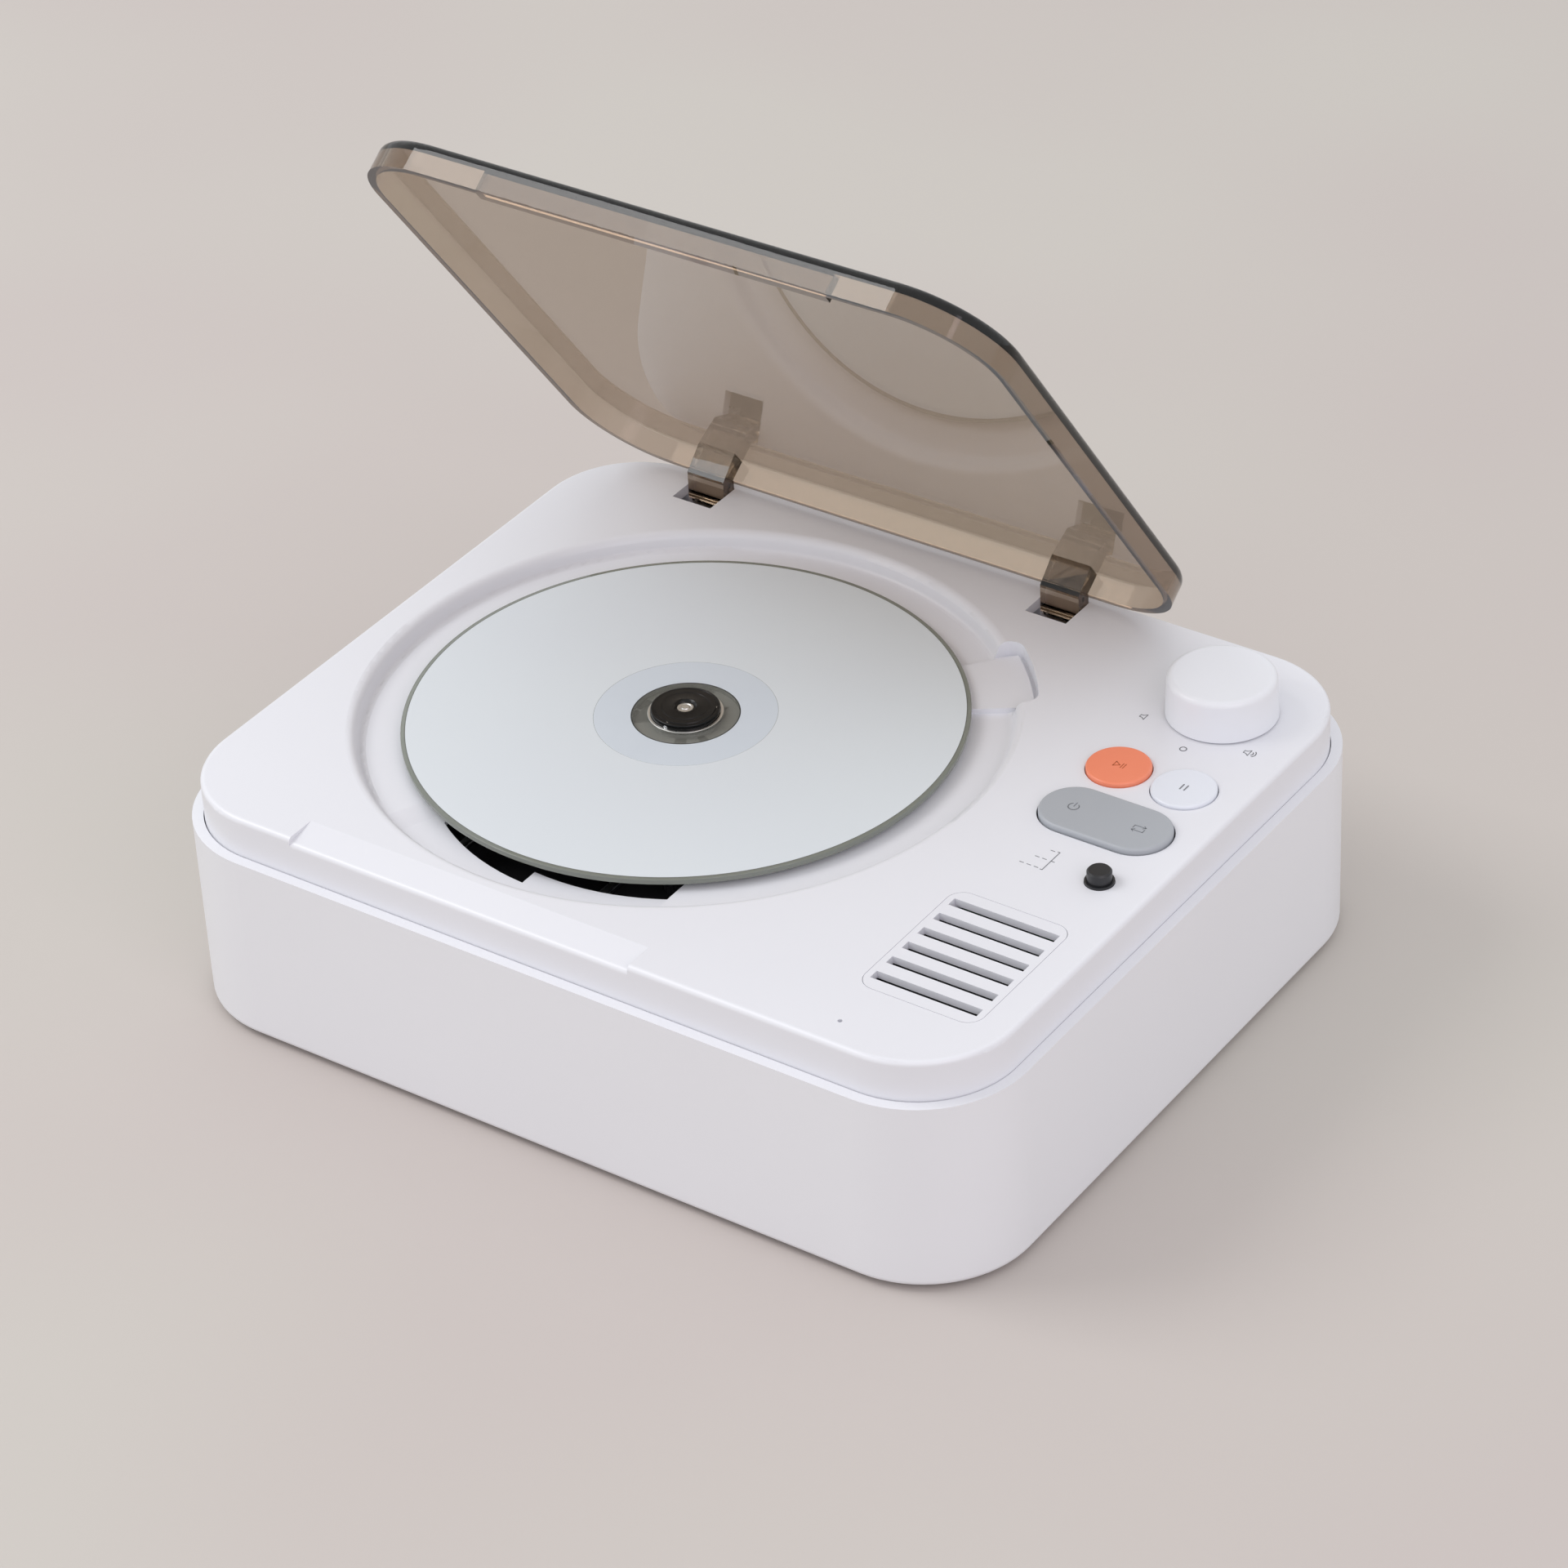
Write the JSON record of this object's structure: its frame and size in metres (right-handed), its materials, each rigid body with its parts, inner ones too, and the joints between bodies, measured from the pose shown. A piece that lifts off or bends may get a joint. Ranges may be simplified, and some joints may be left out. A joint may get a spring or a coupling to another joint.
{
  "type": "wall mounted disc player",
  "caption": "Flat disc player that hangs on keyholes or lies on rubber feet, with a smoked lid on a rear hinge, a knob, buttons, a rocker and a slotted speaker grille.",
  "frame": {"origin": "middle of the two wall keyholes, on the outer face of the back cover, which is also the middle of the case", "axes": "+X right along the front, +Y towards the lid hinge, which is the top edge on a wall, +Z out of the wall or up from the table"},
  "size_m": [0.2012, 0.1663, 0.1715],
  "materials": {
    "white_shell": "satin",
    "smoked_clear": "clear",
    "steel": "satin",
    "rubber_dark": "matte",
    "disc_polycarbonate": "gloss",
    "grey_polycarbonate": "satin",
    "black_plastic": "satin",
    "motor_steel": "satin",
    "chassis_black": "matte",
    "lens_glass": "clear",
    "gear_plastic": "satin",
    "brass": "satin",
    "knob_white": "satin",
    "orange_plastic": "satin",
    "grey_plastic": "satin",
    "board_green": "satin",
    "switch_black": "satin",
    "paper_cone": "matte",
    "magnet_ferrite": "matte",
    "battery_film": "satin"
  },
  "bodies": {
    "player": {"lower_shell": "white_shell", "back_cover": "white_shell", "rubber_feet": "rubber_dark", "case_screws": "steel", "deck_cover": "white_shell", "speaker_grille": "white_shell", "hinge_pins": "steel", "rocker_pin": "steel", "mode_button_collar": "black_plastic", "traverse_chassis": "chassis_black", "damper_bushes": "rubber_dark", "chassis_screws": "steel", "spindle_motor": "motor_steel", "guide_rods": "steel", "feed_motor": "motor_steel", "feed_gear_axle": "steel", "rotary_encoder": "motor_steel", "control_board": "board_green", "control_board_screws": "steel", "push_switches": "switch_black", "speaker_frame": "black_plastic", "speaker_cone": "paper_cone", "speaker_magnet": "magnet_ferrite", "main_board": "board_green", "main_board_screws": "steel", "phones_jack": "black_plastic", "power_inlet": "steel", "battery_pack": "battery_film", "lid_switch": "switch_black"},
    "lid": {"lid_panel": "smoked_clear", "left_hinge_arm": "smoked_clear", "right_hinge_arm": "smoked_clear"},
    "disc_drive": {"disc": "disc_polycarbonate", "turntable": "grey_polycarbonate", "spindle_cap": "black_plastic", "clamp_balls": "steel", "spindle_shaft": "steel"},
    "knob": {"volume_knob": "knob_white", "knob_shaft": "steel"},
    "orange_cap": {"orange_button": "orange_plastic"},
    "white_cap": {"white_button": "knob_white"},
    "rocker_cap": {"grey_rocker": "grey_plastic"},
    "mode_cap": {"mode_button": "black_plastic"},
    "sled": {"pickup_sled": "black_plastic", "feed_rack": "gear_plastic"},
    "lens": {"lens_holder": "black_plastic", "objective_lens": "lens_glass"},
    "feed_wheel": {"feed_gear": "gear_plastic"},
    "pinion": {"motor_pinion": "brass"}
  },
  "joints": [
    {"name": "lid_hinge", "type": "hinge", "parent": "player", "child": "lid", "pos_m": [-0.0205, 0.0766, 0.0494], "axis": [1, 0, 0], "range_deg": [0, 54]},
    {"name": "spindle_spin", "type": "hinge", "parent": "player", "child": "disc_drive", "pos_m": [-0.0205, 0, 0.052], "axis": [0, 0, 1], "continuous": true},
    {"name": "knob_turn", "type": "hinge", "parent": "player", "child": "knob", "pos_m": [0.077, 0.0556, 0.0535], "axis": [0, 0, 1], "continuous": true},
    {"name": "orange_press", "type": "slide", "parent": "player", "child": "orange_cap", "axis": [0, 0, -1], "range_m": [0, 0.0005], "stiffness_N_per_m": 800},
    {"name": "white_press", "type": "slide", "parent": "player", "child": "white_cap", "axis": [0, 0, -1], "range_m": [0, 0.0005], "stiffness_N_per_m": 800},
    {"name": "rocker_tilt", "type": "hinge", "parent": "player", "child": "rocker_cap", "pos_m": [0.077, 0.0094, 0.0507], "axis": [0, 1, 0], "range_deg": [-2, 2], "stiffness_Nm_per_rad": 0.4},
    {"name": "mode_press", "type": "slide", "parent": "player", "child": "mode_cap", "axis": [0, 0, -1], "range_m": [0, 0.0005], "stiffness_N_per_m": 800},
    {"name": "sled_slide", "type": "slide", "parent": "player", "child": "sled", "axis": [0, -1, 0], "range_m": [0, 0.032]},
    {"name": "lens_focus", "type": "slide", "parent": "sled", "child": "lens", "axis": [0, 0, 1], "range_m": [-0.0003, 0.0005], "stiffness_N_per_m": 40},
    {"name": "feed_gear_spin", "type": "hinge", "parent": "player", "child": "feed_wheel", "pos_m": [0.01085, -0.038, 0.045], "axis": [0, 0, 1], "range_deg": [-1, 220]},
    {"name": "pinion_spin", "type": "hinge", "parent": "player", "child": "pinion", "pos_m": [0.01085, -0.02655, 0.045], "axis": [0, 0, 1], "range_deg": [-613, 2]}
  ],
  "couplings": [
    {"joint": "feed_gear_spin", "follows": "sled_slide", "rad_per_m": 119.05},
    {"joint": "pinion_spin", "follows": "sled_slide", "rad_per_m": -333.33}
  ]
}
